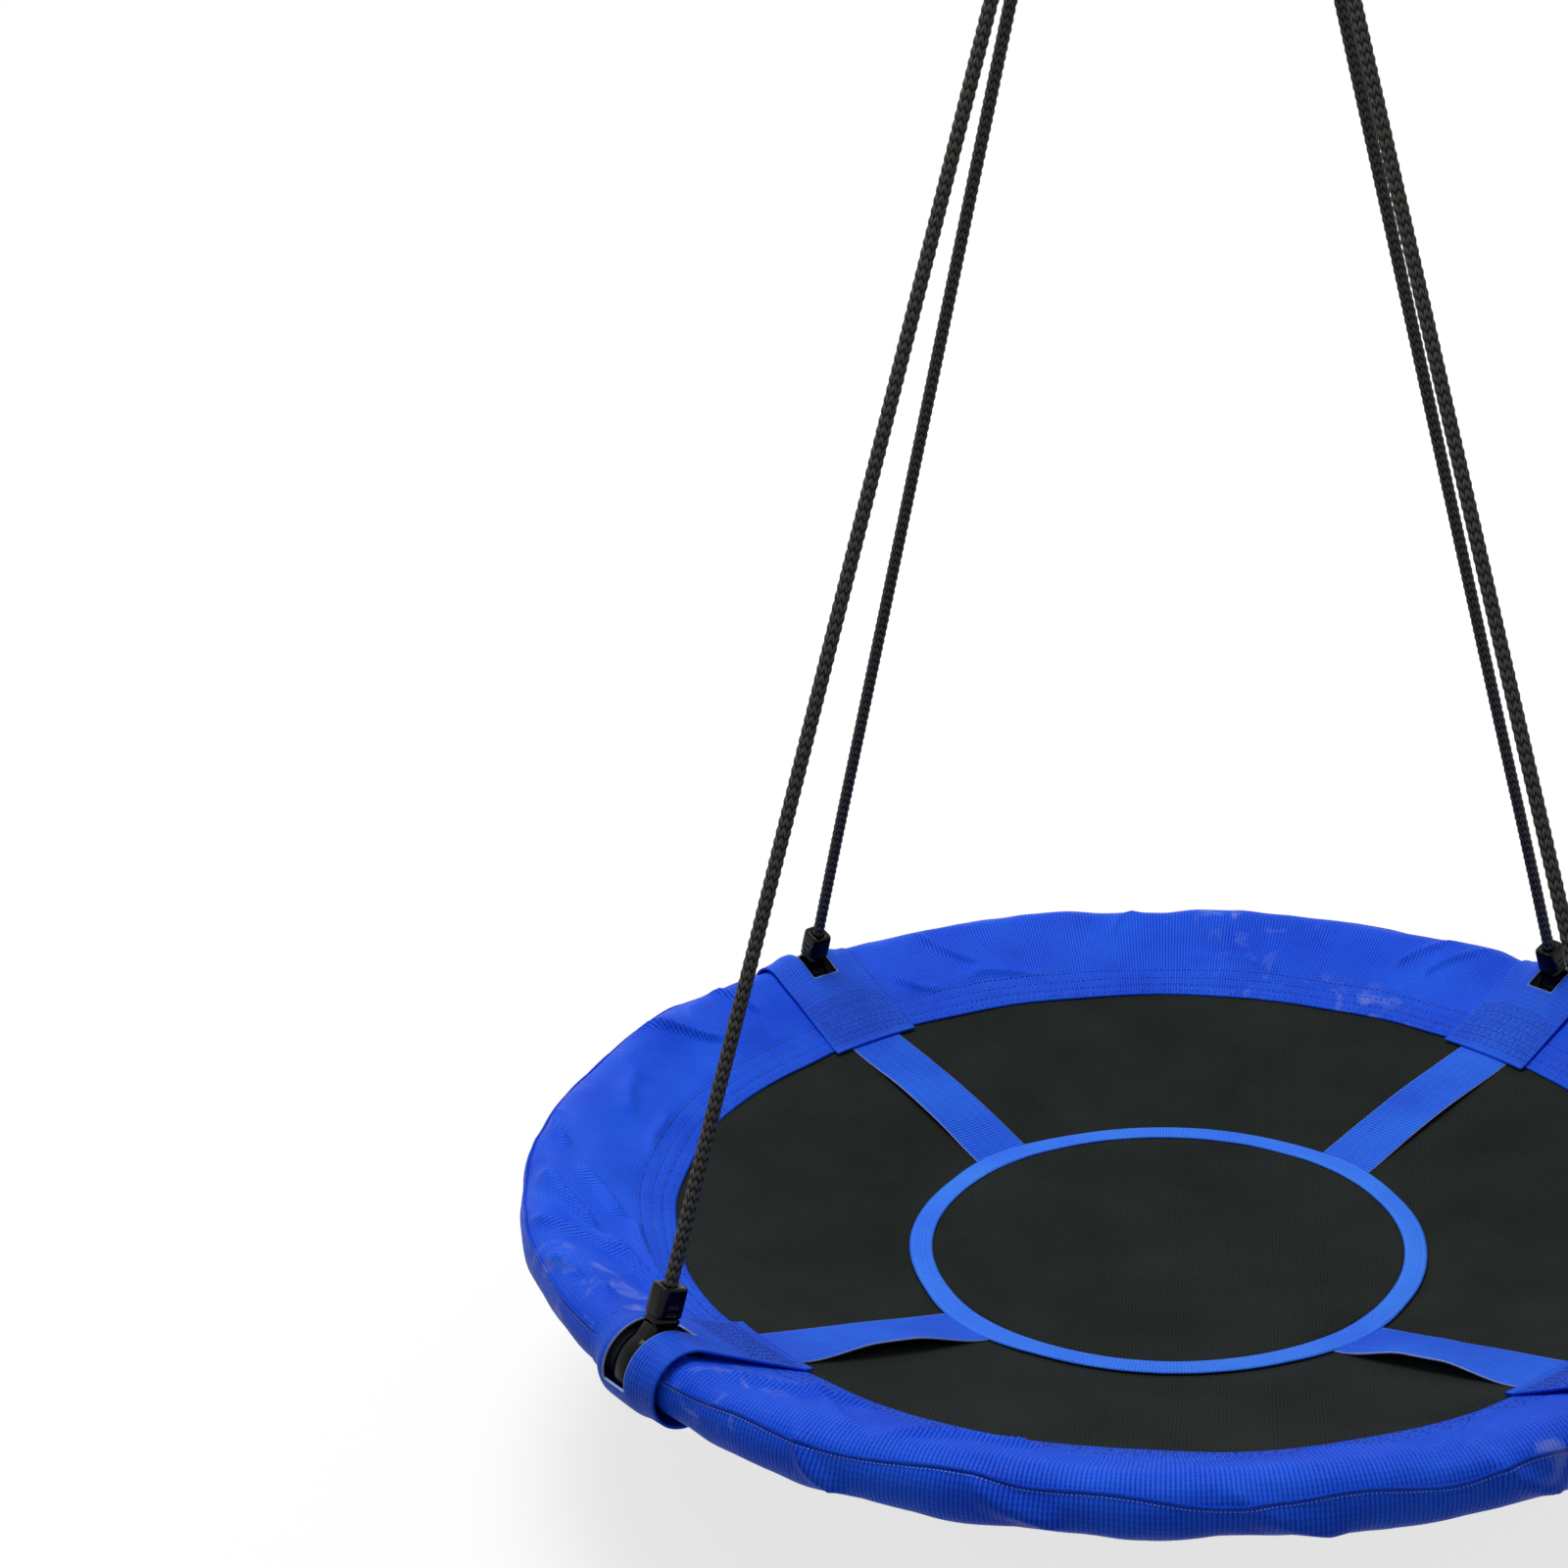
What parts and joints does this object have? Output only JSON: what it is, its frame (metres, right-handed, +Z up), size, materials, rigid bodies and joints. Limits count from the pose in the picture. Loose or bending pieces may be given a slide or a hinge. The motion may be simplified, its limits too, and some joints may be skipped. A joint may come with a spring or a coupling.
{
  "type": "saucer nest swing",
  "caption": "Round nest swing with a padded steel rim, a stretched fabric mat with webbing spokes and adjustable ropes from hook rings.",
  "frame": {"origin": "where the two steel rings bear on the hook, at the top of the inside of their wire", "axes": "+Z up, X to the right and +Y away from the viewer; the ropes reach the rim at 45 degrees to X and Y"},
  "size_m": [1, 1, 1.3611],
  "materials": {
    "ring_steel": "polished welded steel wire",
    "rope": "black solid-braid polyester rope",
    "fitting": "black injection-moulded nylon, glossy",
    "frame_steel": "powder-coated steel tube",
    "screw_steel": "zinc-plated steel",
    "foam": "closed-cell foam",
    "cover": "blue coated polyester, slightly shiny",
    "webbing": "blue ribbed polyester webbing",
    "mat": "black Oxford-weave polyester",
    "binding": "light blue bias binding"
  },
  "bodies": {
    "hook_rings": {"ring_left": "ring_steel", "ring_right": "ring_steel", "rope_loop_1": "rope", "rope_loop_2": "rope", "rope_loop_3": "rope", "rope_loop_4": "rope"},
    "ropes": {"rope_leg_1": "rope", "rope_leg_2": "rope", "rope_leg_3": "rope", "rope_leg_4": "rope"},
    "seat": {"frame_tube_1": "frame_steel", "frame_tube_2": "frame_steel", "frame_tube_3": "frame_steel", "frame_tube_4": "frame_steel", "frame_screws": "screw_steel", "foam_sleeve_1": "foam", "foam_sleeve_2": "foam", "foam_sleeve_3": "foam", "foam_sleeve_4": "foam", "rim_cover_1": "cover", "rim_cover_2": "cover", "rim_cover_3": "cover", "rim_cover_4": "cover", "hanger_patch_1": "webbing", "hanger_patch_2": "webbing", "hanger_patch_3": "webbing", "hanger_patch_4": "webbing", "spoke_1": "webbing", "spoke_2": "webbing", "spoke_3": "webbing", "spoke_4": "webbing", "mat": "mat", "centre_disc": "mat", "centre_binding": "binding"},
    "eye_1": {"rope_eye_1": "fitting", "rope_end_1": "rope"},
    "eye_2": {"rope_eye_2": "fitting", "rope_end_2": "rope"},
    "eye_3": {"rope_eye_3": "fitting", "rope_end_3": "rope"},
    "eye_4": {"rope_eye_4": "fitting", "rope_end_4": "rope"},
    "slider_1": {"adjuster_1": "fitting", "rope_tail_1": "rope", "stopper_knot_1": "rope"},
    "slider_2": {"adjuster_2": "fitting", "rope_tail_2": "rope", "stopper_knot_2": "rope"},
    "slider_3": {"adjuster_3": "fitting", "rope_tail_3": "rope", "stopper_knot_3": "rope"},
    "slider_4": {"adjuster_4": "fitting", "rope_tail_4": "rope", "stopper_knot_4": "rope"}
  },
  "joints": [
    {"name": "swing", "type": "hinge", "parent": "hook_rings", "child": "ropes", "pos_m": [0, 0, -0.037], "axis": [0, 1, 0], "range_deg": [-38, 38], "deforming": ["rope_loop_1", "rope_loop_2", "rope_loop_3", "rope_loop_4"]},
    {"name": "seat_height", "type": "slide", "parent": "ropes", "child": "seat", "axis": [0, 0, 1], "range_m": [-0.1, 0.15], "deforming": ["rope_leg_1", "rope_leg_2", "rope_leg_3", "rope_leg_4"]},
    {"name": "eye_turn_1", "type": "hinge", "parent": "seat", "child": "eye_1", "pos_m": [-0.33941, -0.33941, -1.274], "axis": [0.7071, -0.7071, 0], "range_deg": [-6, 60], "stiffness_Nm_per_rad": 0.5, "deforming": ["rope_end_1"]},
    {"name": "eye_turn_2", "type": "hinge", "parent": "seat", "child": "eye_2", "pos_m": [-0.33941, 0.33941, -1.274], "axis": [-0.7071, -0.7071, 0], "range_deg": [-6, 60], "stiffness_Nm_per_rad": 0.5, "deforming": ["rope_end_2"]},
    {"name": "eye_turn_3", "type": "hinge", "parent": "seat", "child": "eye_3", "pos_m": [0.33941, 0.33941, -1.274], "axis": [-0.7071, 0.7071, 0], "range_deg": [-6, 60], "stiffness_Nm_per_rad": 0.5, "deforming": ["rope_end_3"]},
    {"name": "eye_turn_4", "type": "hinge", "parent": "seat", "child": "eye_4", "pos_m": [0.33941, -0.33941, -1.274], "axis": [0.7071, 0.7071, 0], "range_deg": [-6, 60], "stiffness_Nm_per_rad": 0.5, "deforming": ["rope_end_4"]},
    {"name": "adjuster_slide_1", "type": "slide", "parent": "ropes", "child": "slider_1", "axis": [0.241, 0.2478, 0.9383], "range_m": [-0.1407, 0.0938], "deforming": ["rope_tail_1"]},
    {"name": "adjuster_slide_2", "type": "slide", "parent": "ropes", "child": "slider_2", "axis": [0.2367, -0.258, 0.9367], "range_m": [-0.1407, 0.0938], "deforming": ["rope_tail_2"]},
    {"name": "adjuster_slide_3", "type": "slide", "parent": "ropes", "child": "slider_3", "axis": [-0.241, -0.2478, 0.9383], "range_m": [-0.1407, 0.0938], "deforming": ["rope_tail_3"]},
    {"name": "adjuster_slide_4", "type": "slide", "parent": "ropes", "child": "slider_4", "axis": [-0.2367, 0.258, 0.9367], "range_m": [-0.1407, 0.0938], "deforming": ["rope_tail_4"]}
  ],
  "couplings": [
    {"joint": "adjuster_slide_1", "follows": "seat_height", "ratio": -0.938},
    {"joint": "adjuster_slide_2", "follows": "seat_height", "ratio": -0.938},
    {"joint": "adjuster_slide_3", "follows": "seat_height", "ratio": -0.938},
    {"joint": "adjuster_slide_4", "follows": "seat_height", "ratio": -0.938}
  ]
}
